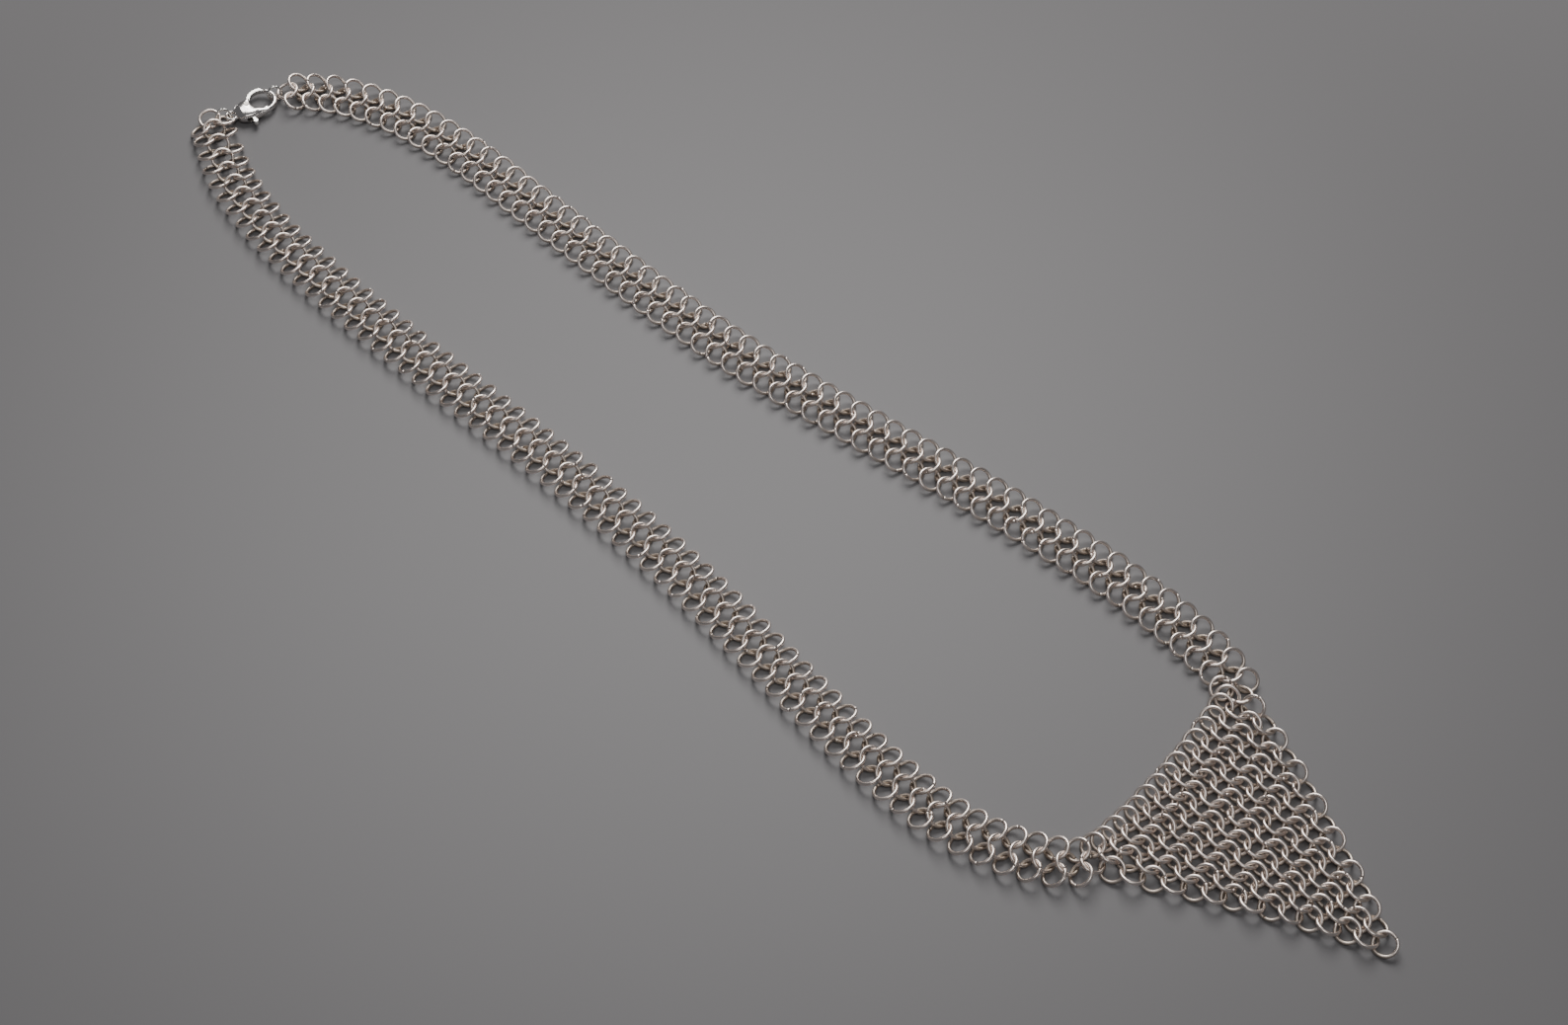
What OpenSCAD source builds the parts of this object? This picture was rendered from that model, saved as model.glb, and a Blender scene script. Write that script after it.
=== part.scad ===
// Chain-mail necklace lying flat: a three-row ribbon of linked rings, a triangular mail
// pendant hanging from its front, and a small lobster clasp at the back of the neck.
// Lengths in mm.  +Y runs from the pendant's point to the clasp, +X to the right ribbon,
// +Z up from the table.

/* [Rings] */
// Outside diameter of a mail ring
ring_od = 4.8; // [4.7:0.05:4.85]
// Thickness of the mail ring's wire
wire = 0.57; // [0.5:0.01:0.6]
// Roundness of every curved surface
smoothness = 48; // [24:4:96]

/* [Pendant] */
// Rows of rings below the three ribbon rows, down to the single ring at the point
pendant_rows = 14; // [6:2:14]
// Ring spacing along the rows at the point
tip_pitch = 2.8; // [2.76:0.01:2.84]
// Ring spacing along the rows at the top
top_pitch = 2.92; // [2.88:0.01:2.96]
// Step from one row to the next
row_step = 2.88; // [2.84:0.01:2.92]
// How much taller the lowest step is than the average, as a share
step_spread = 0.05; // [0:0.01:0.06]
// Angle of a pendant ring to the table
pendant_lean = 26; // [24:0.5:28]
// How far the ends of the top rows rise above their middle
top_sag = 1.2; // [0:0.1:1.2]
// Slope of the top rows, right end high
top_slope = 2.5; // [0:0.5:2.5]
// How far the middle rows lie to the right of the point
sway = 0.8; // [0:0.1:1]

/* [Ribbons] */
// Distance from the middle row of a ribbon to each outer row
row_gap = 3; // [2.8:0.05:3.1]
// Ring columns in the right ribbon
right_columns = 63; // [60:1:66]
// Ring columns in the left ribbon
left_columns = 64; // [61:1:67]
// Thickness of the ribbon's mail
ribbon_thickness = 2.65; // [2.4:0.05:2.8]

/* [Clasp] */
// Thickness of the clasp's bulb
clasp_thickness = 2.4; // [2.2:0.1:2.6]
// Thickness of the clasp's hook
hook_thickness = 1.05; // [0.9:0.05:1.1]
// Outside diameter of a jump ring
jump_od = 3.4; // [3.3:0.05:3.5]
// Thickness of the jump ring's wire
jump_wire = 0.5; // [0.45:0.01:0.52]
// Angle that the lever is drawn at, 0 is closed
lever_open = 0; // [0:1:12]

/* [Hidden] */
$fn = smoothness;
ring_radius = (ring_od - wire) / 2;
// rows counted up from the point: the pendant, then the ribbon's lower, middle and upper row
lower_row = pendant_rows;
middle_row = pendant_rows + 1;
upper_row = pendant_rows + 2;
// the necklace's outline centred on X and Y
centre = [-4.26, 142.6];
// spacing given up row by row where the ribbon's rows bend round the corners
corner_fan = 0.02;
// share of a row's slope that its rings turn with
row_follow = 0.4;
// distance between the middle and the end of the lower ribbon row
half_row = 20.5;

// jump rings and end rings
jump_radius = (jump_od - jump_wire) / 2;
right_jump_at = [-3.72, 281];
right_jump_heading = -24.5;
right_jump_tilt = 67.3;
left_jump_at = [-15.19, 283.77];
left_jump_heading = -28.7;
left_jump_tilt = 59.9;
right_end_at = [-1.39, 279.76];
right_end_heading = -50.5;
left_end_at = [-17.63, 285.24];
left_end_heading = 60;
end_lean = 12;
// how far the last outer rings lift an end ring off the table
end_lift = 0.775;

// middle line of the right ribbon, after the ring at the pendant's corner
right_line = [[20.9, 46.6], [22.7, 50.4], [23.9, 55.2], [24.6, 61], [24.9, 68], [24.7, 78], [23.8, 90],
  [21.8, 108], [19.1, 126], [16.5, 144], [14.3, 162], [13.2, 180], [12.8, 200], [12.7, 220],
  [12.7, 236], [11.7, 250], [9.3, 261.2], [5.1, 271.5], right_end_at];
// middle line of the left ribbon, after the ring at the pendant's corner
left_line = [[-22, 44.9], [-25.4, 48], [-28.1, 52.2], [-30.3, 57], [-32.1, 63], [-33.2, 70],
  [-33.4, 80], [-32.8, 92], [-31.3, 108], [-29.5, 126], [-28.3, 144], [-28, 162], [-28.3, 182],
  [-28.9, 202], [-29.2, 222], [-29, 240], [-27.7, 256], [-24.3, 270.8], left_end_at];
// length of each ribbon at its corner that stays clear of the pendant's rings
corner_clear = 2.9;
// length left free in front of the end ring
end_clear = 2.75;
// length over which a ribbon's end rounds off, and its width at the very end
end_round = 2.6;
end_width = 0.55;
// how far the blunt point of a ribbon's end stands out
end_point = 0.3;
// sections of a ribbon in one ring spacing
sections_per_ring = 4;
// heights of the ribbon's quilted surface
edge_height = 1.34;
valley_height = 1.75;
relief = 0.3;
under_relief = 0.18;

// clasp, along its own axis from the centre of its eye
clasp_at = [-13.83, 282.75];
clasp_heading = -14;
eye_radius = 1.12;
eye_wire = 0.8;
// how far the bulb's axis lies to the side of the eye
bulb_shift = -0.45;
// radius of the bulb at each distance along the clasp
bulb_profile = [[0, 0.75], [1, 0.75], [1.45, 0.95], [1.8, 1.25], [2.1, 1.65], [2.35, 2.15],
  [2.55, 2.8], [2.65, 3.5], [2.65, 4.3], [2.55, 5.3], [2.4, 6.3], [2.25, 7.3], [0, 7.3]];
// half thickness of the bulb at each distance along the clasp
bulb_edge = [[0.7, 0.55], [1.9, 1.2], [5.2, 1.2], [7.3, 0.55]];
bulb_side = 4.9;
opening_near = [6.8, 0.55];
opening_far = [6.95, 0.55];
opening_radius = 2.3;
pivot = [3.7, 0.55];
hub_radius = 0.85;
pin_radius = 0.35;
pin_play = 0.03;
pin_head_radius = 0.55;
pin_head_height = 0.1;
lever_height = 1;
lever_play = 0.06;
gate_middle = [7, 0.75];
gate_radius = 2.8;
gate_width = 0.75;
gate_reach = 5.35;
gate_gap = 0.1;
nub_tip = [3.55, -4.1];
nub_width = 0.7;
nub_radius = 0.5;
slot_radius = 4.4;
slot_gate_angles = [14, 84];
slot_nub_angles = [-128, -58];
clasp_z = clasp_thickness / 2 + pin_head_height;

// where ring j of row u lies; rows run from left to right and widen by one ring a row
function row_pitch(u) = tip_pitch + (top_pitch - tip_pitch) * u / lower_row
  - corner_fan * max(0, u - lower_row + 2);
function row_height(u) = u * row_step
  + row_step * lower_row * step_spread * (u / lower_row) * (1 - u / lower_row);
function mail_point(u, j) =
  let (x = (j - u / 2) * row_pitch(u))
  [x + sway * sin(180 * u / lower_row),
    row_height(u) + tan(top_slope) * x * u / (lower_row + 1)
      + top_sag * pow(u / lower_row, 2) * pow(x / half_row, 2)];
function mail_heading(u, j) =
  let (along = mail_point(u, j - 0.5) - mail_point(u, j + 0.5),
    turned = row_follow * along / norm(along) + (1 - row_follow) * [-1, 0])
  atan2(turned[1], turned[0]);
// the rows above the lower ribbon row lose a ring at each end, where the ribbons bend away
function first_ring(u) = max(0, u - lower_row);

// smooth line through points, several steps to each point
function spline_point(p, i, t) =
  let (n = len(p) - 1,
    a = i > 0 ? p[i - 1] : 2 * p[0] - p[1],
    b = p[i],
    c = p[i + 1],
    d = i + 2 > n ? 2 * p[n] - p[n - 1] : p[i + 2])
  (2 * b + (c - a) * t + (2 * a - 5 * b + 4 * c - d) * t * t
    + (3 * b - a - 3 * c + d) * t * t * t) / 2;
function smooth_line(p, steps = 8) =
  [for (i = [0 : len(p) - 2], k = [0 : steps - 1]) spline_point(p, i, k / steps), p[len(p) - 1]];
function lengths(p, i = 1, run = [0]) =
  i >= len(p) ? run : lengths(p, i + 1, concat(run, [run[i - 1] + norm(p[i] - p[i - 1])]));
function line_table(p, s, axis) = [for (i = [0 : len(p) - 1]) [s[i], p[i][axis]]];

right_route = smooth_line(concat([mail_point(middle_row, middle_row - 1)], right_line));
left_route = smooth_line(concat([mail_point(middle_row, 1)], left_line));

// height of the quilted surface: the outer rows crest between the middle row's crests
function wave(s, pitch) = cos(360 * s / pitch);
// outer edge of the ribbon, one bow to each outer ring
function scallop(s, pitch) =
  let (off = pitch * abs(s / pitch - floor(s / pitch) - 0.5))
  row_gap + (ring_radius + wire / 2) * sqrt(max(0, 1 - pow(off / ring_radius, 2)));
function ribbon_profile(s, pitch) =
  let (w = scallop(s, pitch),
    crest = ribbon_thickness - relief,
    outer_top = crest + relief * wave(s, pitch),
    middle_top = crest - relief * wave(s, pitch),
    outer_under = under_relief * (1 - wave(s, pitch)),
    middle_under = under_relief * (1 + wave(s, pitch)))
  [[-w, edge_height], [-row_gap, outer_under], [0, middle_under], [row_gap, outer_under],
    [w, edge_height], [row_gap, outer_top], [row_gap / 2, valley_height], [0, middle_top],
    [-row_gap / 2, valley_height], [-row_gap, outer_top]];

// one solid ribbon swept along a line, from the pendant's corner to the end ring
function end_share(off) = max(end_width, sqrt(1 - pow(max(0, 1 - off / end_round), 2)));
module ribbon(route, columns) {
  s = lengths(route);
  total = s[len(s) - 1];
  pitch = total / columns;
  step = pitch / sections_per_ring;
  x_of = line_table(route, s, 0);
  y_of = line_table(route, s, 1);
  first = ceil(corner_clear / step);
  last = floor((total - end_clear) / step);
  count = last - first + 1;
  sides = len(ribbon_profile(0, pitch));
  points = [for (k = [first : last])
    let (at = k * step,
      here = [lookup(at, x_of), lookup(at, y_of)],
      ahead = [lookup(at + step, x_of), lookup(at + step, y_of)],
      behind = [lookup(at - step, x_of), lookup(at - step, y_of)],
      along = (ahead - behind) / norm(ahead - behind),
      across = [along[1], -along[0]] * end_share(min(k - first, last - k) * step))
    for (q = ribbon_profile(at, pitch))
      [here[0] + across[0] * q[0], here[1] + across[1] * q[0], q[1]]];
  near_at = first * step - end_point;
  far_at = last * step + end_point;
  near_point = [lookup(near_at, x_of), lookup(near_at, y_of), edge_height];
  far_point = [lookup(far_at, x_of), lookup(far_at, y_of), edge_height];
  walls = [for (k = [0 : count - 2], i = [0 : sides - 1])
    let (a = k * sides + i,
      b = k * sides + (i + 1) % sides,
      c = b + sides,
      d = a + sides)
    each [[a, b, c], [a, c, d]]];
  near_number = count * sides;
  base = (count - 1) * sides;
  near_end = [for (i = [0 : sides - 1]) [near_number, (i + 1) % sides, i]];
  far_end = [for (i = [0 : sides - 1]) [near_number + 1, base + i, base + (i + 1) % sides]];
  polyhedron(points = concat(points, [near_point, far_point]),
    faces = concat(walls, near_end, far_end));
}

// a ring leaning on one edge; side 1 puts its forward edge down, side -1 its rear edge
module leaning_ring(at, heading, side, lean, radius, thickness, lift = 0) {
  translate([at[0], at[1], radius * sin(lean) + thickness / 2 + lift])
    rotate([0, 0, heading])
      rotate([0, side * lean, 0])
        rotate_extrude()
          translate([radius, 0])
            circle(d = thickness);
}

module mail_rows(from, to) {
  for (u = [from : to])
    for (j = [first_ring(u) : u - first_ring(u)])
      leaning_ring(mail_point(u, j), mail_heading(u, j), u % 2 == 0 ? 1 : -1, pendant_lean,
        ring_radius, wire);
}

module in_place() {
  translate([-centre[0], -centre[1], 0])
    children();
}

module in_clasp() {
  in_place()
    translate([clasp_at[0], clasp_at[1], clasp_z])
      rotate([0, 0, clasp_heading])
        children();
}

// a bar bent round a middle point
module bent_bar(middle, radius, from, to, width, height) {
  translate([middle[0], middle[1], 0])
    rotate([0, 0, from])
      rotate_extrude(angle = to - from)
        translate([radius - width / 2, -height / 2])
          square([width, height]);
}

// a round rod bent round a middle point
module bent_rod(middle, radius, from, to, thickness) {
  translate([middle[0], middle[1], 0])
    rotate([0, 0, from])
      rotate_extrude(angle = to - from)
        translate([radius, 0])
          circle(d = thickness);
}

// a straight bar between two points
module bar(from, to, width, height) {
  run = to - from;
  translate([from[0], from[1], 0])
    rotate([0, 0, atan2(run[1], run[0])])
      translate([0, -width / 2, -height / 2])
        cube([norm(run), width, height]);
}

// a slice of a disc round the pivot
module slice(radius, angles, height) {
  translate([pivot[0], pivot[1], -height / 2])
    rotate([0, 0, angles[0]])
      rotate_extrude(angle = angles[1] - angles[0])
        square([radius, height]);
}

module clasp_bulb() {
  intersection() {
    translate([0, bulb_shift, 0])
      rotate([0, 90, 0])
        rotate_extrude()
          polygon(bulb_profile);
    translate([0, 5, 0])
      rotate([90, 0, 0])
        linear_extrude(10)
          polygon(concat(bulb_edge, [for (i = [len(bulb_edge) - 1 : -1 : 0])
            [bulb_edge[i][0], -bulb_edge[i][1]]]));
    translate([0, 0, -clasp_thickness])
      linear_extrude(2 * clasp_thickness)
        polygon([[0, -4], [8, -4], [8, opening_near[1]], [bulb_side, opening_near[1]],
          [bulb_side, 4], [0, 4]]);
  }
}

module clasp_opening() {
  for (at = [opening_near, opening_far])
    translate([at[0], at[1], -2])
      cylinder(r = opening_radius, h = 4);
  translate([opening_near[0], opening_near[1] - opening_radius, -2])
    cube([opening_far[0] - opening_near[0], 2 * opening_radius, 4]);
}

module clasp_slot() {
  height = lever_height + 2 * lever_play;
  slice(slot_radius, slot_gate_angles, height);
  slice(slot_radius, slot_nub_angles, height);
  translate([pivot[0], pivot[1], -height / 2])
    cylinder(r = hub_radius + 0.12, h = height);
}

module clasp_hook() {
  middle = opening_radius + hook_thickness / 2;
  translate([opening_near[0] - 0.6, opening_near[1] - middle, 0])
    rotate([0, 90, 0])
      cylinder(d = hook_thickness, h = opening_far[0] - opening_near[0] + 0.6);
  bent_rod(opening_far, middle, -90, 15, hook_thickness);
  difference() {
    bent_rod(opening_far, middle, 15, 80, hook_thickness);
    translate([pivot[0], pivot[1], -2])
      cylinder(r = gate_reach + gate_gap, h = 4);
  }
}

module clasp_body() {
  in_clasp()
    color([0.83, 0.82, 0.79]) {
      difference() {
        union() {
          clasp_bulb();
          clasp_hook();
        }
        clasp_opening();
        clasp_slot();
        translate([pivot[0], pivot[1], -2])
          cylinder(r = pin_radius + pin_play, h = 4);
      }
      rotate_extrude()
        translate([eye_radius, 0])
          circle(d = eye_wire);
    }
}

module clasp_pin() {
  length = clasp_thickness + 2 * pin_head_height;
  in_clasp()
    color([0.7, 0.69, 0.66])
      translate([pivot[0], pivot[1], -length / 2]) {
        cylinder(r = pin_radius, h = length);
        for (at = [0, length - pin_head_height])
          translate([0, 0, at])
            cylinder(r = pin_head_radius, h = pin_head_height);
      }
}

module clasp_lever() {
  shoulder = gate_middle + gate_radius * [cos(132), sin(132)];
  in_clasp()
    color([0.76, 0.75, 0.72])
      translate([pivot[0], pivot[1], 0])
        rotate([0, 0, -lever_open])
          translate([-pivot[0], -pivot[1], 0])
            difference() {
              union() {
                translate([pivot[0], pivot[1], -lever_height / 2])
                  cylinder(r = hub_radius, h = lever_height);
                bar(pivot, shoulder, gate_width, lever_height);
                intersection() {
                  bent_bar(gate_middle, gate_radius, 40, 137, gate_width, lever_height);
                  translate([pivot[0], pivot[1], -2])
                    cylinder(r = gate_reach, h = 4);
                }
                bar(pivot, nub_tip, nub_width, lever_height);
                translate([nub_tip[0], nub_tip[1], -lever_height / 2])
                  cylinder(r = nub_radius, h = lever_height);
              }
              translate([pivot[0], pivot[1], -2])
                cylinder(r = pin_radius + pin_play, h = 4);
            }
}

// a ring tilted about the line of its heading; 90 stands it on the table
module standing_ring(at, heading, tilt, radius, thickness) {
  translate([at[0], at[1], radius * sin(tilt) + thickness / 2])
    rotate([0, 0, heading])
      rotate([tilt, 0, 0])
        rotate_extrude()
          translate([radius, 0])
            circle(d = thickness);
}

module jump_ring_right() {
  color([0.8, 0.79, 0.75])
    in_place()
      standing_ring(right_jump_at, right_jump_heading, right_jump_tilt, jump_radius, jump_wire);
}

module jump_ring_left() {
  color([0.8, 0.79, 0.75])
    in_place()
      standing_ring(left_jump_at, left_jump_heading, left_jump_tilt, jump_radius, jump_wire);
}

module end_ring_right() {
  color([0.78, 0.76, 0.71])
    in_place()
      leaning_ring(right_end_at, right_end_heading, -1, end_lean, ring_radius, wire, end_lift);
}

module end_ring_left() {
  color([0.78, 0.76, 0.71])
    in_place()
      leaning_ring(left_end_at, left_end_heading, -1, end_lean, ring_radius, wire, end_lift);
}

module ribbon_right() {
  color([0.72, 0.7, 0.66])
    in_place()
      ribbon(right_route, right_columns);
}

module ribbon_left() {
  color([0.72, 0.7, 0.66])
    in_place()
      ribbon(left_route, left_columns);
}

module pendant_top_rows() {
  color([0.74, 0.72, 0.68])
    in_place()
      mail_rows(lower_row, upper_row);
}

module pendant_mail() {
  color([0.78, 0.76, 0.71])
    in_place()
      mail_rows(0, lower_row - 1);
}

ribbon_right();
ribbon_left();
pendant_top_rows();
pendant_mail();
end_ring_right();
end_ring_left();
jump_ring_right();
jump_ring_left();
clasp_body();
clasp_pin();
clasp_lever();
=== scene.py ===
import math

import bmesh
import bpy
import numpy as np
from mathutils import Matrix, Vector
from mathutils.kdtree import KDTree


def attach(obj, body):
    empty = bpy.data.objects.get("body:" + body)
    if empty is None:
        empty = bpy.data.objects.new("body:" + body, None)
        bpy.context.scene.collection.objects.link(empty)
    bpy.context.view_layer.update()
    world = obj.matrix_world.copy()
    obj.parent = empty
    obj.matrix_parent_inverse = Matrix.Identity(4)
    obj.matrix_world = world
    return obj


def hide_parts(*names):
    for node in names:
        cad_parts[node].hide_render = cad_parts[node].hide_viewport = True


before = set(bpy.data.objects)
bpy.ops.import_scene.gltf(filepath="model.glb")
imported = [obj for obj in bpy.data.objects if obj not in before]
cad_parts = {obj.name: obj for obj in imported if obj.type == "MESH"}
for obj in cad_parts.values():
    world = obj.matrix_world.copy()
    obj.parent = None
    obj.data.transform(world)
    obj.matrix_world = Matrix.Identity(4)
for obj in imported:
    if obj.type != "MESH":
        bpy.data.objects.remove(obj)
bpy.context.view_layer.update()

# The necklace lies on a table.  +Y runs from the pendant's point to the clasp, +X to the right
# ribbon.  Rings are laid out in mm from the pendant's point, where the frame's origin is CENTRE.
MM = 0.001
CENTRE = np.array([-4.26, 142.6, 0.0])
chance = np.random.default_rng(41)

# Rings: wire thickness, and the radius of the wire's middle line
WIRE = 0.65
RADIUS = (4.8 - WIRE) / 2
JUMP_WIRE = 0.5
JUMP_RADIUS = (3.4 - JUMP_WIRE) / 2
PENDANT_LEAN = 26
RIBBON_LEAN = 30
END_LEAN = 12
END_LIFT = 0.775
RIGHT_END_HEADING = -50.5
LEFT_END_HEADING = 60

# Jump rings: place, heading and tilt
RIGHT_JUMP = ([-3.72, 281], -24.5, 67.3)
LEFT_JUMP = ([-15.19, 283.77], -28.7, 59.9)

# Pendant: rows are counted up from the point, and the ribbon's three rows run over its top
LOWER_ROW = 14
MIDDLE_ROW = 15
UPPER_ROW = 16
TIP_PITCH = 2.8
TOP_PITCH = 2.92
ROW_STEP = 2.88
STEP_SPREAD = 0.05
TOP_SAG = 1.2
TOP_SLOPE = 2.5
SWAY = 0.8
HALF_ROW = 20.5
FAN_FROM_ROW = 12
CORNER_FAN = 0.02
ROW_FOLLOW = 0.4
# how far the corner rings are drawn to the ribbons, and the share of it one row further down
LOWER_CORNER_PULL = 0.35
LEFT_PULL = np.array([-0.9, 0.4])
RIGHT_PULL = np.array([0.6, 0.8])

# Ribbons: the lines that their middle rows follow
ROW_GAP = 3.0
RIGHT_COLUMNS = 63
LEFT_COLUMNS = 64
RIGHT_END = [-1.39, 279.76]
LEFT_END = [-17.63, 285.24]
RIGHT_LINE = [
    [20.9, 46.6], [22.7, 50.4], [23.9, 55.2], [24.6, 61], [24.9, 68], [24.7, 78], [23.8, 90],
    [21.8, 108], [19.1, 126], [16.5, 144], [14.3, 162], [13.2, 180], [12.8, 200], [12.7, 220],
    [12.7, 236], [11.7, 250], [9.3, 261.2], [5.1, 271.5], RIGHT_END]
LEFT_LINE = [
    [-22, 44.9], [-25.4, 48], [-28.1, 52.2], [-30.3, 57], [-32.1, 63], [-33.2, 70],
    [-33.4, 80], [-32.8, 92], [-31.3, 108], [-29.5, 126], [-28.3, 144], [-28, 162], [-28.3, 182],
    [-28.9, 202], [-29.2, 222], [-29, 240], [-27.7, 256], [-24.3, 270.8], LEFT_END]
# Rings that lie askew at the right corner and at the left end: shift in mm along X and Y,
# turn and extra lean in degrees
ASKEW = {
    ("right", "middle", 1): (0.16, 0.94, -13, -7.6),
    ("mail", 14, 14): (-0.01, 0.03, -6, 14),
    ("right", "outer", 2): (-0.7, -0.53, -3.6, -6),
    ("mail", 15, 14): (-0.41, -0.08, 1.2, 1.4),
    ("right", "inner", 1): (0.43, -0.62, -9.8, 2.6),
    ("right", "middle", 2): (0.48, -1, 5.6, 6.8),
    ("left", "inner", 64): (1.25, 0.92, 1.5, -12),
    ("left", "middle", 63): (-0.21, 0.55, -9, -7.3),
    ("left", "outer", 64): (-0.38, -0.93, 20, 2),
    ("left", "inner", 63): (0.58, 1.24, 17, 14.6)}
UNMOVED = (0, 0, 0, 0)

# Settling of the rings, in mm
FLAT_REACH = 3.62
LINK_REACH = 3.75
CLEAR = 0.03
NEIGHBOUR_SPARE = 1.2
START_ROUNDS = 200
STILL = 1e-4
ROUNDS = 90
HOME_PULL = 0.01
SINK = 0.002
TINY = 1e-6
PLACE_SCATTER = 0.05
NORMAL_SCATTER = 0.025


def pendant_place(row, ring):
    """Where a ring of the pendant lies on the table."""
    pitch = TIP_PITCH + (TOP_PITCH - TIP_PITCH) * row / LOWER_ROW
    pitch -= CORNER_FAN * max(0, row - FAN_FROM_ROW)
    across = (ring - row / 2) * pitch
    share = row / LOWER_ROW
    up = row * ROW_STEP + ROW_STEP * LOWER_ROW * STEP_SPREAD * share * (1 - share)
    up += math.tan(math.radians(TOP_SLOPE)) * across * row / MIDDLE_ROW
    up += TOP_SAG * share ** 2 * (across / HALF_ROW) ** 2
    return np.array([across + SWAY * math.sin(math.pi * share), up])


def pendant_heading(row, ring):
    """Direction that a pendant ring faces, partly along its row."""
    along = pendant_place(row, ring - 0.5) - pendant_place(row, ring + 0.5)
    turned = ROW_FOLLOW * along / np.linalg.norm(along) + (1 - ROW_FOLLOW) * np.array([-1.0, 0])
    return turned / np.linalg.norm(turned)


def smooth_line(points, steps=8):
    """A smooth curve through points."""
    p = np.array(points, float)
    last = len(p) - 1
    curve = []
    for i in range(last):
        a = p[i - 1] if i else 2 * p[0] - p[1]
        b = p[i]
        c = p[i + 1]
        d = p[i + 2] if i + 2 <= last else 2 * p[last] - p[last - 1]
        for t in np.arange(steps) / steps:
            curve.append((2 * b + (c - a) * t + (2 * a - 5 * b + 4 * c - d) * t ** 2
                          + (3 * b - a - 3 * c + d) * t ** 3) / 2)
    curve.append(p[last])
    return np.array(curve)


class Route:
    """A line on the table that can be walked by its length."""

    def __init__(self, points):
        self.line = smooth_line(points)
        steps = np.linalg.norm(np.diff(self.line, axis=0), axis=1)
        self.run = np.concatenate([[0.0], np.cumsum(steps)])
        self.length = self.run[-1]

    def at(self, distance):
        spare = max(0.0, distance - self.length) + min(0.0, distance)
        end = self.line[-1] - self.line[-2] if distance > 0 else self.line[1] - self.line[0]
        here = [np.interp(distance, self.run, self.line[:, axis]) for axis in (0, 1)]
        return np.array(here) + spare * end / np.linalg.norm(end)

    def along(self, distance):
        step = self.at(distance + 0.8) - self.at(distance - 0.8)
        return step / np.linalg.norm(step)


class Weave:
    """Wire rings as circles in space, by name."""

    def __init__(self):
        self.names = []
        self.centre = []
        self.normal = []
        self.radius = []
        self.wire = []
        self.free = []

    def add(self, name, centre, normal, radius=RADIUS, wire=WIRE, free=1.0):
        self.names.append(name)
        self.centre.append(centre)
        self.normal.append(np.array(normal) / np.linalg.norm(normal))
        self.radius.append(radius)
        self.wire.append(wire)
        self.free.append(free)

    def lean(self, name, at, heading, side, angle, lift=0.0, free=1.0):
        """A mail ring that leans on its forward edge (side 1) or its rear edge (side -1)."""
        rise = math.sin(math.radians(angle))
        height = RADIUS * rise + WIRE / 2 + lift
        dx, dy, turn, more = ASKEW.get(name, UNMOVED)
        t = math.radians(turn)
        rise = math.sin(math.radians(angle + more)) * side
        normal = [(heading[0] * math.cos(t) - heading[1] * math.sin(t)) * rise,
                  (heading[0] * math.sin(t) + heading[1] * math.cos(t)) * rise,
                  math.cos(math.radians(angle + more))]
        self.add(name, [at[0] + dx, at[1] + dy, height], normal, free=free)

    def stand(self, name, at, heading, tilt):
        """A jump ring turned up about its heading."""
        h = math.radians(heading)
        t = math.radians(tilt)
        normal = [math.sin(h) * math.sin(t), -math.cos(h) * math.sin(t), math.cos(t)]
        height = JUMP_RADIUS * math.sin(t) + JUMP_WIRE / 2
        self.add(name, [at[0], at[1], height], normal, JUMP_RADIUS, JUMP_WIRE, 0.0)

    def close(self):
        self.centre = np.array(self.centre, float)
        self.normal = np.array(self.normal, float)
        self.radius = np.array(self.radius)
        self.wire = np.array(self.wire)
        self.free = np.array(self.free)
        self.number = {name: i for i, name in enumerate(self.names)}

    def circles(self, count):
        """Points round each ring's middle line."""
        up = np.where(np.abs(self.normal[:, 2:3]) < 0.9, [[0, 0, 1.0]], [[1.0, 0, 0]])
        a = np.cross(self.normal, up)
        a /= np.linalg.norm(a, axis=1)[:, None]
        b = np.cross(self.normal, a)
        turn = np.linspace(0, 2 * math.pi, count, endpoint=False)
        spokes = (np.cos(turn)[None, :, None] * a[:, None]
                  + np.sin(turn)[None, :, None] * b[:, None])
        return self.centre[:, None] + self.radius[:, None, None] * spokes


def head(degrees):
    """Direction on the table at an angle from +X."""
    return [math.cos(math.radians(degrees)), math.sin(math.radians(degrees))]


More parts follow.
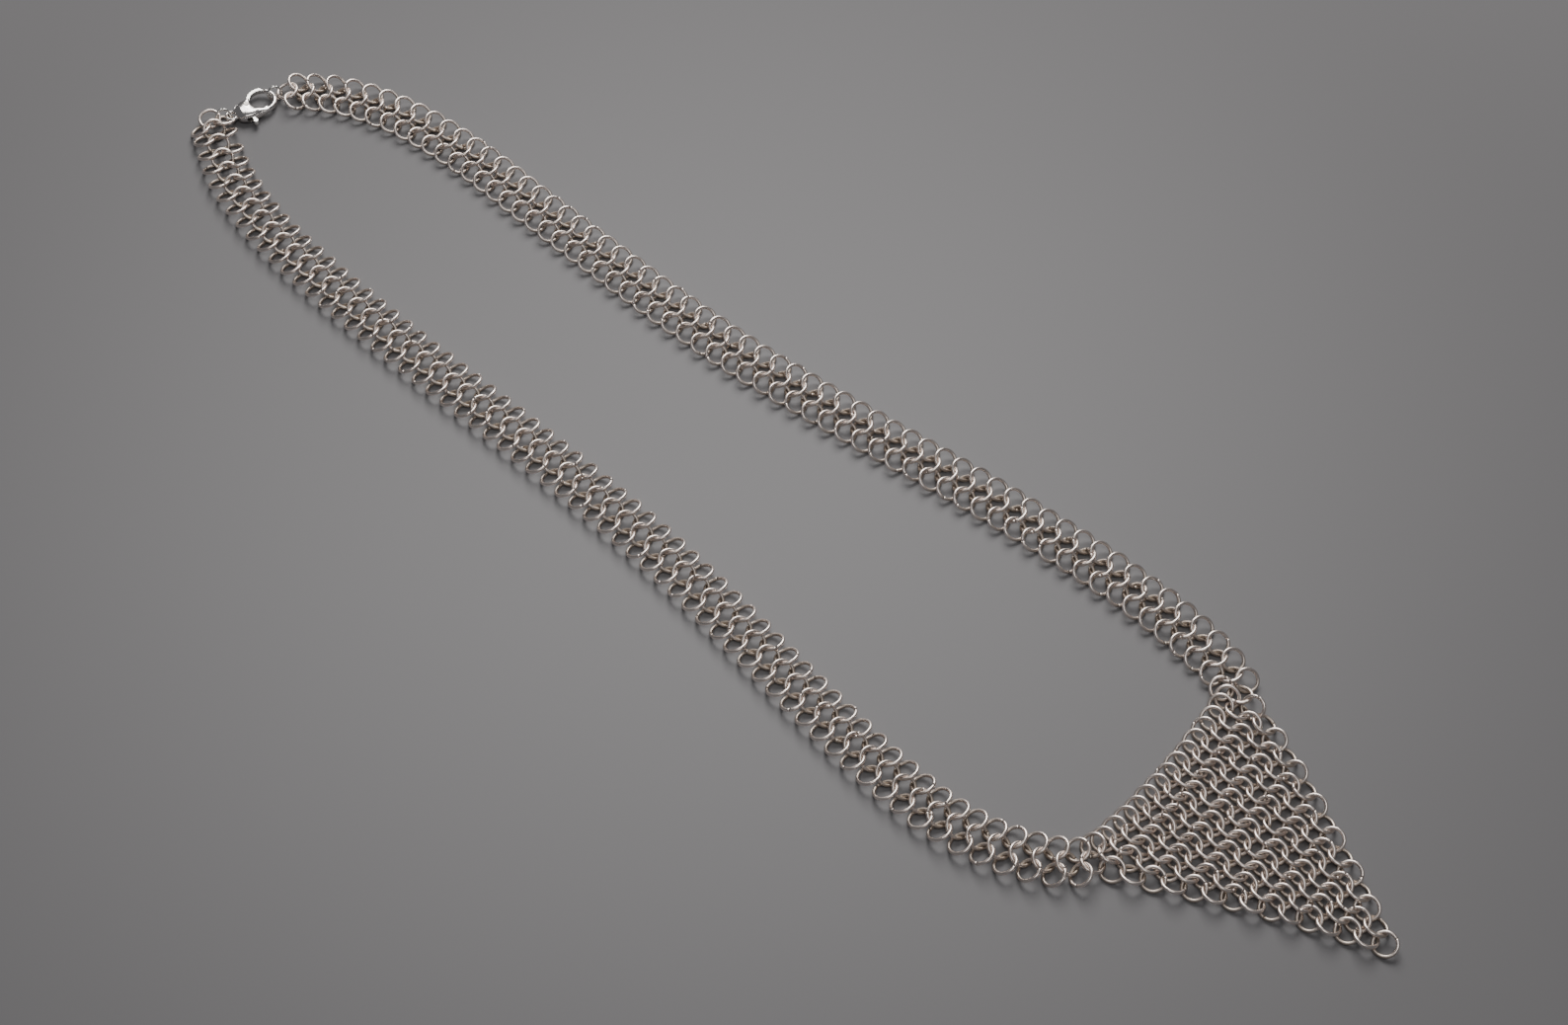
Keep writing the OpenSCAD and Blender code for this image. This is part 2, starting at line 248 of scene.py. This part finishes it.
def lay_out():
    """Every ring of the necklace where it starts, and the pairs of rings that link."""
    weave = Weave()
    for row in range(UPPER_ROW + 1):
        cut = max(0, row - LOWER_ROW)
        for ring in range(cut, row + 1 - cut):
            at = pendant_place(row, ring)
            share = {LOWER_ROW: 1.0, LOWER_ROW - 1: LOWER_CORNER_PULL}.get(row, 0.0)
            if ring == 0:
                at = at + LEFT_PULL * share
            elif ring == row:
                at = at + RIGHT_PULL * share
            side = 1 if row % 2 == 0 else -1
            weave.lean(("mail", row, ring), at, pendant_heading(row, ring), side, PENDANT_LEAN)
    links = []
    for row in range(UPPER_ROW):
        for ring in range(row + 1):
            links.append((("mail", row, ring), ("mail", row + 1, ring)))
            links.append((("mail", row, ring), ("mail", row + 1, ring + 1)))
    plans = (
        ("right", RIGHT_LINE, MIDDLE_ROW - 1, LOWER_ROW, RIGHT_COLUMNS, -1,
         head(RIGHT_END_HEADING)),
        ("left", LEFT_LINE, 1, 0, LEFT_COLUMNS, 1, head(LEFT_END_HEADING)))
    for name, line, start, corner, columns, way, end_heading in plans:
        route = Route([pendant_place(MIDDLE_ROW, start)] + line)
        pitch = route.length / columns
        for column in range(1, columns + 1):
            if column < columns:
                weave.lean((name, "middle", column), route.at(column * pitch),
                           way * route.along(column * pitch), -1, RIBBON_LEAN)
            else:
                weave.lean((name, "end"), line[-1], end_heading, -1, END_LEAN, END_LIFT, 0.0)
            half = (column - 0.5) * pitch
            along = route.along(half)
            across = np.array([-along[1], along[0]])
            for row, side in (("inner", -way), ("outer", way)):
                if row == "outer" and column == 1:
                    continue
                weave.lean((name, row, column), route.at(half) + across * side * ROW_GAP,
                           way * along, 1, RIBBON_LEAN)
        middles = [("mail", MIDDLE_ROW, start)]
        middles += [(name, "middle", column) for column in range(1, columns)]
        middles += [(name, "end")]
        for column, middle in enumerate(middles):
            for half in (column, column + 1):
                outer = ("mail", LOWER_ROW, corner) if half == 1 else (name, "outer", half)
                links.append((middle, outer))
                links.append((middle, (name, "inner", half)))
    weave.stand(("right", "jump"), *RIGHT_JUMP)
    weave.stand(("left", "jump"), *LEFT_JUMP)
    weave.close()
    number = weave.number
    pairs = sorted({(number[a], number[b]) for a, b in links if a in number and b in number})
    return weave, np.array(pairs)


def pull_links(weave, links, reach, flat, share):
    """Moves linked rings together where their centres are further apart than reach."""
    a, b = links[:, 0], links[:, 1]
    gap = weave.centre[b] - weave.centre[a]
    if flat:
        gap[:, 2] = 0
    length = np.linalg.norm(gap, axis=1)
    spare = np.maximum(0, length - reach)
    loose = weave.free[a] + weave.free[b]
    move = gap * (spare * share / length / np.maximum(loose, 1))[:, None]
    np.add.at(weave.centre, a, move * weave.free[a][:, None])
    np.add.at(weave.centre, b, -move * weave.free[b][:, None])


def neighbours(weave, spare):
    """Pairs of rings, both ways round, that come near enough to touch."""
    gap = np.linalg.norm(weave.centre[:, None] - weave.centre[None], axis=2)
    reach = weave.radius[:, None] + weave.radius[None] + spare
    a, b = np.nonzero((gap < reach) & ~np.eye(len(gap), dtype=bool))
    return a, b


def gaps_between(weave, points, a, b):
    """From each point of ring a to the nearest point of ring b's middle line."""
    arm = points[a] - weave.centre[b][:, None]
    height = (arm * weave.normal[b][:, None]).sum(2)
    flat = arm - height[..., None] * weave.normal[b][:, None]
    size = np.maximum(np.linalg.norm(flat, axis=2), TINY)
    near = flat / size[..., None] * weave.radius[b][:, None, None]
    gap = arm - near
    return gap, np.linalg.norm(gap, axis=2)


def settle(weave, links):
    """Lets the rings push one another apart, hold their links and sink onto the table."""
    for _ in range(START_ROUNDS):
        start = weave.centre.copy()
        pull_links(weave, links, FLAT_REACH, True, 0.3)
        if np.abs(weave.centre - start).max() < STILL:
            break
    home = weave.centre.copy()
    stance = weave.normal.copy()
    a, b = neighbours(weave, NEIGHBOUR_SPARE)
    free = weave.free
    loose = free[a] + free[b]
    share = (free[a] / np.where(loose == 0, 1, loose))[:, None]
    need = (weave.wire[a] + weave.wire[b])[:, None] / 2 + CLEAR
    rows = np.arange(len(a))
    for _ in range(ROUNDS):
        pull_links(weave, links, LINK_REACH, False, 0.25)
        points = weave.circles(48)
        gap, size = gaps_between(weave, points, a, b)
        depth = np.maximum(0, need - size)
        worst = depth.argmax(1)
        hit = depth[rows, worst] > 0
        push = gap / np.maximum(size, TINY)[..., None] * (depth * share)[..., None]
        push = push[rows, worst][hit]
        arm = (points[a] - weave.centre[a][:, None])[rows, worst][hit]
        moved = np.zeros_like(weave.centre)
        turned = np.zeros_like(weave.centre)
        count = np.zeros(len(free))
        np.add.at(moved, a[hit], push * 0.5)
        np.add.at(turned, a[hit],
                  np.cross(arm, push) * 0.8 / (weave.radius[a[hit]] ** 2)[:, None])
        np.add.at(count, a[hit], 1)
        ease = np.sqrt(np.maximum(count, 1))[:, None]
        weave.centre += moved / ease
        weave.normal += np.cross(turned / ease, weave.normal)
        weave.centre += free[:, None] * HOME_PULL * (home - weave.centre)
        weave.normal += free[:, None] * HOME_PULL * (stance - weave.normal)
        weave.centre[:, 2] -= free * SINK
        weave.normal /= np.linalg.norm(weave.normal, axis=1)[:, None]
        drop = weave.radius * np.sqrt(1 - weave.normal[:, 2] ** 2) + weave.wire / 2
        weave.centre[:, 2] += free * np.maximum(0, drop - weave.centre[:, 2])
    return a, b


def linked(weave, pairs):
    """Whether each pair of rings passes through one another once."""
    count = 180
    points = weave.circles(count)
    found = []
    for a, b in pairs:
        arm = points[a] - weave.centre[b]
        height = arm @ weave.normal[b]
        after = np.roll(height, -1)
        crossings = 0
        for i in np.nonzero(height * after < 0)[0]:
            step = arm[(i + 1) % count] - arm[i]
            where = arm[i] + step * height[i] / (height[i] - after[i])
            crossings += np.linalg.norm(where) < weave.radius[b]
        found.append(crossings % 2 == 1)
    return np.array(found)


weave, links = lay_out()
loose = weave.free[:, None] > 0
weave.centre[:, :2] += loose * chance.normal(0, PLACE_SCATTER, (len(weave.names), 2))
weave.normal += loose * chance.normal(0, NORMAL_SCATTER, (len(weave.names), 3))
weave.normal /= np.linalg.norm(weave.normal, axis=1)[:, None]
near_a, near_b = settle(weave, links)
held = linked(weave, links)
points = weave.circles(96)
clearance = gaps_between(weave, points, near_a, near_b)[1]
clearance -= (weave.wire[near_a] + weave.wire[near_b])[:, None] / 2
print("links", int(held.sum()), "of", len(held), "least gap in mm",
      round(float(clearance.min()), 3))
for a, b in links[~held]:
    print("not linked:", weave.names[a], weave.names[b])


# Wire rings: steps along a ring and round its wire, and the wire's length and girth in mm
ALONG = 40
SIDES = 12
RING_RUN = 13.3
WIRE_GIRTH = 1.8
SLIT = (0.03, 0.05)
MISS = 0.018
# how far from a neighbouring ring the wire is painted darker: partly tarnished, partly painted
# shade
TARNISH_AND_SHADE_REACH = 0.5


def wire_rings(name, numbers):
    """One mesh of butted wire rings: each is cut once and its ends meet in a hairline."""
    verts = []
    faces = []
    runs = []
    tones = []
    nears = []
    for number in numbers:
        centre = weave.centre[number]
        normal = weave.normal[number]
        radius = weave.radius[number]
        wire = weave.wire[number]
        side = np.cross(normal, [0, 0, 1.0] if abs(normal[2]) < 0.9 else [1.0, 0, 0])
        side /= np.linalg.norm(side)
        other = np.cross(normal, side)
        # the ends at the cut miss each other by a hair
        slit = chance.uniform(*SLIT) / radius
        turn = chance.uniform(0, 2 * math.pi)
        miss = chance.normal(0, MISS)
        steps = np.linspace(0, 1, ALONG + 1)
        angles = turn + slit / 2 + steps * (2 * math.pi - slit)
        spoke = np.cos(angles)[:, None] * side + np.sin(angles)[:, None] * other
        line = centre + spoke * radius + normal * (miss * (steps - 0.5) ** 3 * 4)[:, None]
        around = np.linspace(0, 2 * math.pi, SIDES, endpoint=False)
        section = (np.cos(around)[None, :, None] * spoke[:, None]
                   + np.sin(around)[None, :, None] * normal)
        base = sum(len(v) for v in verts)
        verts.append((line[:, None] + section * wire / 2).reshape(-1, 3))
        i = np.arange(ALONG)[:, None] * SIDES
        j = np.arange(SIDES)[None, :]
        k = (j + 1) % SIDES
        quads = np.stack([i + j, i + k, i + SIDES + k, i + SIDES + j], axis=2).reshape(-1, 4)
        faces.extend((quads + base).tolist())
        faces.append([base + n for n in range(SIDES - 1, -1, -1)])
        faces.append([base + ALONG * SIDES + n for n in range(SIDES)])
        u = np.stack([steps[:-1], steps[:-1], steps[1:], steps[1:]], axis=1) * RING_RUN
        u = np.repeat(u[:, None], SIDES, axis=1)
        v = np.stack([np.arange(SIDES), np.arange(1, SIDES + 1),
                      np.arange(1, SIDES + 1), np.arange(SIDES)], axis=1) / SIDES * WIRE_GIRTH
        v = np.repeat(v[None], ALONG, axis=0)
        runs.append(np.stack([u, v], axis=3).reshape(-1, 2))
        runs.append(np.zeros((2 * SIDES, 2)))
        tones.append(np.full((ALONG + 1) * SIDES, chance.uniform(0, 1)))
        # closeness to other rings, which the wire's finish turns into darkening: partly
        # tarnished, partly painted shade
        nears.append(np.repeat(near_share(number, line), SIDES))
    mesh = bpy.data.meshes.new(name)
    everything = (np.vstack(verts) - CENTRE) * MM
    mesh.from_pydata(everything.tolist(), [], faces)
    mesh.update()
    smooth = np.array([len(face) == 4 for face in faces])
    mesh.polygons.foreach_set("use_smooth", smooth)
    layer = mesh.uv_layers.new(name="wire_run")
    layer.data.foreach_set("uv", np.vstack(runs).astype(np.float32).ravel())
    for title, values in (("tone", tones), ("near", nears)):
        attribute = mesh.attributes.new(title, "FLOAT", "POINT")
        attribute.data.foreach_set("value", np.concatenate(values).astype(np.float32))
    piece = bpy.data.objects.new(name, mesh)
    bpy.context.scene.collection.objects.link(piece)
    return piece


def near_share(number, line):
    """Share of closeness to the neighbouring rings for the points of one ring's line."""
    others = near_b[near_a == number]
    if len(others) == 0:
        return np.zeros(len(line))
    arm = line[None] - weave.centre[others][:, None]
    height = (arm * weave.normal[others][:, None]).sum(2)
    flat = arm - height[..., None] * weave.normal[others][:, None]
    size = np.maximum(np.linalg.norm(flat, axis=2), TINY)
    gap = np.linalg.norm(arm - flat / size[..., None] * weave.radius[others][:, None, None],
                         axis=2)
    gap -= (weave.wire[number] + weave.wire[others])[:, None] / 2
    return np.clip(1 - gap.min(0) / TARNISH_AND_SHADE_REACH, 0, 1)


def numbers_of(test):
    """Numbers of the rings whose name passes the test."""
    return [i for i, name in enumerate(weave.names) if test(name)]


# Piece, the solid it replaces, its material slot and its rings
PIECES = (
    ("ribbon_right_rings", "ribbon_right", "mail_wire",
     lambda n: n[0] == "right" and n[1] in ("inner", "middle", "outer")),
    ("ribbon_left_rings", "ribbon_left", "mail_wire",
     lambda n: n[0] == "left" and n[1] in ("inner", "middle", "outer")),
    ("top_row_rings", "pendant_top_rows", "mail_wire",
     lambda n: n[0] == "mail" and n[1] >= LOWER_ROW),
    ("pendant_rings", "pendant_mail", "mail_wire",
     lambda n: n[0] == "mail" and n[1] < LOWER_ROW),
    ("right_end_ring", "end_ring_right", "mail_wire", lambda n: n == ("right", "end")),
    ("left_end_ring", "end_ring_left", "mail_wire", lambda n: n == ("left", "end")),
    ("right_jump_ring", "jump_ring_right", "jump_ring_wire", lambda n: n == ("right", "jump")),
    ("left_jump_ring", "jump_ring_left", "jump_ring_wire", lambda n: n == ("left", "jump")))


# Finishes
class Value:
    """A value that changes over a surface; arithmetic on it adds the nodes that it needs."""

    def __init__(self, finish, socket):
        self.finish = finish
        self.socket = socket

    def __add__(self, other):
        return self.finish.sum_of("ADD", self, other)

    def __radd__(self, other):
        return self.finish.sum_of("ADD", other, self)

    def __sub__(self, other):
        return self.finish.sum_of("SUBTRACT", self, other)

    def __rsub__(self, other):
        return self.finish.sum_of("SUBTRACT", other, self)

    def __mul__(self, other):
        return self.finish.sum_of("MULTIPLY", self, other)


class Finish:
    """One material, built up from plain expressions."""

    def __init__(self, name, metallic=1.0, roughness=0.3):
        self.material = bpy.data.materials.new(name)
        self.material.use_nodes = True
        self.tree = self.material.node_tree
        self.shader = self.tree.nodes["Principled BSDF"]
        self.shader.inputs["Metallic"].default_value = metallic
        self.shader.inputs["Roughness"].default_value = roughness

    def node(self, kind, settings=None, inputs=None, output=0):
        """Any node: its settings first, then its inputs."""
        made = self.tree.nodes.new(kind)
        for title, value in (settings or {}).items():
            setattr(made, title, value)
        for title, value in (inputs or {}).items():
            socket = made.inputs[title]
            if isinstance(value, Value):
                self.tree.links.new(value.socket, socket)
            else:
                socket.default_value = value
        return Value(self, made.outputs[output])

    def sum_of(self, operation, a, b):
        return self.node("ShaderNodeMath", {"operation": operation}, {0: a, 1: b})

    def between(self, value, low, high):
        """0 below low, 1 above high, smooth between."""
        return self.node("ShaderNodeMapRange", {"interpolation_type": "SMOOTHSTEP"},
                         {"Value": value, "From Min": low, "From Max": high})

    def mix(self, share, a, b):
        """From colour a to colour b."""
        colour = [x if isinstance(x, Value) else (*x, 1) for x in (a, b)]
        return self.node("ShaderNodeMix", {"data_type": "RGBA"},
                         {0: share, 6: colour[0], 7: colour[1]}, output=2)

    def stretch(self, place, scale):
        return self.node("ShaderNodeVectorMath", {"operation": "MULTIPLY"}, {0: place, 1: scale})

    def shift(self, place, by):
        return self.node("ShaderNodeVectorMath", {"operation": "ADD"}, {0: place, 1: by})

    def position(self):
        return self.node("ShaderNodeNewGeometry", output="Position")

    def height(self):
        return self.node("ShaderNodeSeparateXYZ", inputs={0: self.position()}, output=2)

    def attribute(self, title):
        return self.node("ShaderNodeAttribute", {"attribute_name": title}, output="Fac")

    def noise(self, place, scale, detail, rough):
        return self.node("ShaderNodeTexNoise", {"noise_dimensions": "3D"},
                         {"Vector": place, "Scale": scale, "Detail": detail,
                          "Roughness": rough}, output="Fac")

    def bump(self, height, distance, strength):
        relief = self.node("ShaderNodeBump", inputs={"Height": height, "Distance": distance,
                                                     "Strength": strength})
        self.tree.links.new(relief.socket, self.shader.inputs["Normal"])

    def to(self, title, value):
        self.tree.links.new(value.socket, self.shader.inputs[title])


def silver_wire(name, bright, tarnish_and_shade_colour, rough):
    """Drawn silver wire: fine lines along it, darker where rings touch (partly tarnished, partly
    painted shade), and painted shade low down near the table that leaves the tops lighter.
    """
    f = Finish(name)
    tone = f.attribute("tone")
    near = f.attribute("near")
    run = f.node("ShaderNodeUVMap", {"uv_map": "wire_run"})
    ring = f.node("ShaderNodeCombineXYZ", inputs={2: tone * 37.0})
    place = f.shift(run, ring)
    drawn = f.noise(f.stretch(place, (0.9, 16.0, 1.0)), 1.0, 4.0, 0.6)
    nicks = f.noise(f.stretch(place, (5.0, 9.0, 1.0)), 1.0, 2.0, 0.5)
    cloud = f.noise(f.position(), 520.0, 3.0, 0.6)
    # partly tarnished, partly painted shade: darker where the wire comes near a neighbouring
    # ring, plus random tarnished clouds
    crevice_tarnish_and_shade = f.between(near * 0.7 + cloud * 0.6, 0.6, 1.25)
    # painted shade: the wire is painted darker low down near the table, so its tops stay lighter
    low = 1 - f.between(f.height(), 0.0004, 0.0022)
    # mix of random tarnished clouds, darkening near other rings and painted shade low down
    tarnish_and_painted_shade = f.between(crevice_tarnish_and_shade * 0.5 + low * 0.7, 0.05, 0.9)
    clean = f.mix(tone, tuple(0.93 * x for x in bright), bright)
    f.to("Base Color", f.mix(tarnish_and_painted_shade, clean, tarnish_and_shade_colour))
    f.to("Roughness", rough + drawn * 0.12 + tarnish_and_painted_shade * 0.16 + tone * 0.05 - 0.06)
    f.bump(drawn * 0.7 + nicks * 0.5, 0.000012, 0.55)
    return f.material


def cast_silver(name, bright, tarnish_and_shade_colour, rough):
    """Cast and tumbled silver: a soft skin, fine wheel lines, random tarnished clouds, and
    painted shade and reflection low down near the table.
    """
    f = Finish(name)
    place = f.position()
    skin = f.noise(place, 900.0, 2.0, 0.5)
    wheel = f.noise(f.stretch(place, (700.0, 6500.0, 1500.0)), 1.0, 3.0, 0.65)
    cloud = f.noise(place, 380.0, 4.0, 0.6)
    # painted shade and painted reflection: the casting is painted browner low down near the
    # table, and less metallic there so its side wall shows a warm diffuse tone
    low = 1 - f.between(f.height(), 0.0002, 0.0014)
    tarnish_and_painted_shade = f.between(cloud * 0.8 + low * 0.5, 0.42, 1.0)
    f.to("Base Color", f.mix(tarnish_and_painted_shade, bright, tarnish_and_shade_colour))
    f.to("Metallic", 1 - tarnish_and_painted_shade * 0.4)
    f.to("Roughness", rough + wheel * 0.1 + tarnish_and_painted_shade * 0.18 - 0.05)
    f.bump(skin * 0.8 + wheel * 0.25, 0.00002, 0.5)
    return f.material


def filed_steel(name):
    """The rivet's filed ends: short straight file lines."""
    f = Finish(name)
    lines = f.noise(f.stretch(f.position(), (900.0, 14000.0, 900.0)), 1.0, 3.0, 0.7)
    cloud = f.noise(f.position(), 900.0, 3.0, 0.6)
    f.to("Base Color", f.mix(f.between(cloud, 0.35, 0.75), (0.62, 0.6, 0.57), (0.44, 0.41, 0.37)))
    f.to("Roughness", 0.24 + lines * 0.22)
    f.bump(lines, 0.00001, 0.6)
    return f.material


# second colour of each wire: the tarnished colour, also used for the painted shade
mail_wire = silver_wire("drawn silver mail wire", (0.9, 0.8, 0.745), (0.52, 0.445, 0.38), 0.28)
jump_wire = silver_wire("bright silver jump ring wire",
                        (0.93, 0.91, 0.88), (0.55, 0.48, 0.42), 0.18)
# second colour of each casting: the tarnished colour, also used for the painted shade and
# reflection low down
clasp_cast = cast_silver("tumbled cast silver", (0.86, 0.82, 0.8), (0.6, 0.52, 0.45), 0.15)
lever_cast = cast_silver("worn cast silver lever",
                         (0.88, 0.86, 0.83), (0.5, 0.44, 0.38), 0.17)
pin_steel = filed_steel("filed rivet steel")

for name, node, slot, test in PIECES:
    piece = wire_rings(name, numbers_of(test))
    piece.data.materials.append(jump_wire if slot == "jump_ring_wire" else mail_wire)
    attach(piece, "necklace")
    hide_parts(node)


# Clasp: its pin in the frame, its middle height and its heading
CLASP_PIN = np.array([-5.847, 139.789])
CLASP_MIDDLE = 1.3
CLASP_HEADING = -14
# the pin and the bulb in the clasp's own mm, along it from the eye and across it
PIN_IN_CLASP = (3.7, 0.55)
BULB_SHIFT = -0.45
BULB_AT = (0.75, 0.95, 1.25, 1.65, 2.15, 2.8, 3.5, 4.3, 5.3, 6.3, 7.3)
BULB_RADIUS = (1, 1.45, 1.8, 2.1, 2.35, 2.55, 2.65, 2.65, 2.55, 2.4, 2.25)
# directions from the pin: the nub shut or open, and the part of the slot that is filled beside it
NUB_SIDES = ((-91.8, -84, -57), (-103.8, -129, -112))
# room beside the nub's bar, round the lever's boss and inside the bulb's wall
BAR_ROOM = 0.45
BOSS_ROOM = 1
WALL_ROOM = 0.08
SLOT_HALF = 0.62
# the dome begins this far above the middle and is full 0.3 mm higher
DOME_FROM = 0.56
DOME_RISE = 0.3
RIVET_ROOM = 0.75


def slot_wedge(shape, nub, first, last):
    """Fills the slot between its end and the place that the nub's bar swings to."""
    inner = []
    outer = []
    for angle in np.linspace(first, last, 12):
        way = np.array(head(angle))
        start = max(BOSS_ROOM, BAR_ROOM / math.sin(math.radians(abs(angle - nub))))
        reach = start
        inside = True
        while inside:
            reach += 0.04
            u, v = PIN_IN_CLASP + way * reach
            inside = abs(v - BULB_SHIFT) < np.interp(u, BULB_AT, BULB_RADIUS) - WALL_ROOM
        if reach > start + 0.1:
            turned = np.array(head(angle + CLASP_HEADING))
            inner.append(CLASP_PIN + turned * start)
            outer.append(CLASP_PIN + turned * reach)
    outline = inner + outer[::-1]
    rings = [[shape.verts.new((x, y, CLASP_MIDDLE + up)) for x, y in outline]
             for up in (-SLOT_HALF, SLOT_HALF)]
    faces = [shape.faces.new(rings[0]), shape.faces.new(rings[1])]
    for i, low in enumerate(rings[0]):
        faces.append(shape.faces.new((low, rings[0][i - 1], rings[1][i - 1], rings[1][i])))
    bmesh.ops.recalc_face_normals(shape, faces=faces)


def pillowed(mesh, reach, rim):
    """Domes the clasp's flat faces: full height inside, down to the share rim at the outline."""
    place = np.empty(3 * len(mesh.vertices))
    mesh.vertices.foreach_get("co", place)
    place = place.reshape(-1, 3)
    facing = np.empty(3 * len(mesh.vertices))
    mesh.vertices.foreach_get("normal", facing)
    upright = np.abs(facing.reshape(-1, 3)[:, 2])
    up = place[:, 2] - CLASP_MIDDLE
    off_pin = np.linalg.norm(place[:, :2] - CLASP_PIN, axis=1)
    wall = np.nonzero((upright < 0.5) & (np.abs(up) > 0.7) & (off_pin > RIVET_ROOM))[0]
    tree = KDTree(len(wall))
    for i in wall:
        tree.insert((place[i, 0], place[i, 1], 0), i)
    tree.balance()
    raised = np.clip((np.abs(up) - DOME_FROM) / DOME_RISE, 0, 1)
    for i in np.nonzero(raised > 0)[0]:
        inward = min(tree.find((place[i, 0], place[i, 1], 0))[2] / reach, 1)
        share = rim + (1 - rim) * math.sqrt(1 - (1 - inward) ** 2)
        up[i] *= 1 - (1 - share) * raised[i]
    place[:, 2] = CLASP_MIDDLE + up
    mesh.vertices.foreach_set("co", place.ravel())
    mesh.update()


def cast_from(node, name, body, metal, grain, rounds, domed=False):
    """A casting of a solid: the same form with its edges rounded over as if cast and tumbled."""
    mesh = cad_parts[node].data.copy()
    mesh.name = name
    mesh.transform(Matrix.Scale(1 / MM, 4))
    if domed:
        shape = bmesh.new()
        shape.from_mesh(mesh)
        for nub, first, last in NUB_SIDES:
            slot_wedge(shape, nub, first, last)
        shape.to_mesh(mesh)
        shape.free()
    piece = bpy.data.objects.new(name, mesh)
    bpy.context.scene.collection.objects.link(piece)
    remesh = piece.modifiers.new("grain", "REMESH")
    remesh.mode = "VOXEL"
    remesh.voxel_size = grain
    remesh.use_smooth_shade = True
    soften = piece.modifiers.new("tumble", "SMOOTH")
    soften.factor = 0.5
    soften.iterations = rounds
    whole = bpy.context.evaluated_depsgraph_get()
    formed = bpy.data.meshes.new_from_object(piece.evaluated_get(whole))
    piece.modifiers.clear()
    if domed:
        pillowed(formed, 1.5, 0.64)
    piece.data = formed
    formed.transform(Matrix.Scale(MM, 4))
    formed.polygons.foreach_set("use_smooth", [True] * len(formed.polygons))
    formed.materials.clear()
    formed.materials.append(metal)
    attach(piece, body)
    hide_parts(node)


cast_from("clasp_body", "clasp_body_casting", "necklace", clasp_cast, 0.06, 7,
          domed=True)
cast_from("clasp_lever", "clasp_lever_casting", "lever", lever_cast, 0.05, 9)
cast_from("clasp_pin", "clasp_pin_rivet", "necklace", pin_steel, 0.03, 3)


# Table, light and camera
TABLE_HALF = 3.0
# radius in metres of the painted pool of light on the table
LIGHT_POOL_REACH = 0.2
CAMERA_AT = (-0.1869, -0.1875, 0.3799)
CAMERA_RIGHT = (0.6907, -0.7232, 0)
CAMERA_FORWARD = (0.4044, 0.3862, -0.8290)


def table_top():
    """A plain matt table with a painted pool of light: lighter round the necklace, painted darker
    away from it.
    """
    mesh = bpy.data.meshes.new("table_top")
    shape = bmesh.new()
    bmesh.ops.create_grid(shape, x_segments=1, y_segments=1, size=TABLE_HALF)
    shape.to_mesh(mesh)
    shape.free()
    floor = bpy.data.objects.new("table_top", mesh)
    bpy.context.scene.collection.objects.link(floor)
    f = Finish("pale matt table", metallic=0.0, roughness=0.8)
    place = f.position()
    cloud = f.noise(place, 6.0, 3.0, 0.5)
    # painted pool of light: the table's colour falls off to a darker grey away from the necklace
    off_middle = f.shift(place, (0.012, 0, 0))
    outside_light_pool = f.node("ShaderNodeVectorMath", {"operation": "LENGTH"}, {0: off_middle}, output="Value")
    bright = f.mix(cloud, (0.256, 0.252, 0.261), (0.276, 0.272, 0.281))
    f.to("Base Color", f.mix(f.between(outside_light_pool, 0.0, LIGHT_POOL_REACH), bright, (0.15, 0.147, 0.153)))
    mesh.materials.append(f.material)


def soft_light(name, at, size, power, colour):
    """A round soft light aimed at the middle of the table."""
    data = bpy.data.lights.new(name, "AREA")
    data.shape = "DISK"
    data.size = size
    data.energy = power
    data.color = colour
    lamp = bpy.data.objects.new(name, data)
    lamp.location = at
    lamp.rotation_euler = (-Vector(at)).to_track_quat("-Z", "Y").to_euler()
    bpy.context.scene.collection.objects.link(lamp)


def studio():
    world = bpy.data.worlds.new("studio")
    world.use_nodes = True
    sky = world.node_tree.nodes["Background"]
    sky.inputs["Color"].default_value = (0.95, 0.96, 1.0, 1)
    sky.inputs["Strength"].default_value = 0.12
    bpy.context.scene.world = world
    soft_light("key", (0.5, 0.44, 0.62), 0.64, 9.0, (1, 0.98, 0.95))
    soft_light("above", (-0.15, -0.25, 1.0), 0.5, 2.0, (1, 0.99, 0.97))


def camera():
    data = bpy.data.cameras.new("camera")
    data.sensor_width = 36
    data.lens = 56.7
    data.clip_start = 0.01
    view = bpy.data.objects.new("camera", data)
    right = Vector(CAMERA_RIGHT).normalized()
    forward = Vector(CAMERA_FORWARD).normalized()
    up = right.cross(forward).normalized()
    turn = Matrix((right, up, -forward)).transposed().to_4x4()
    view.matrix_world = Matrix.Translation(CAMERA_AT) @ turn
    bpy.context.scene.collection.objects.link(view)
    bpy.context.scene.camera = view


table_top()
studio()
camera()
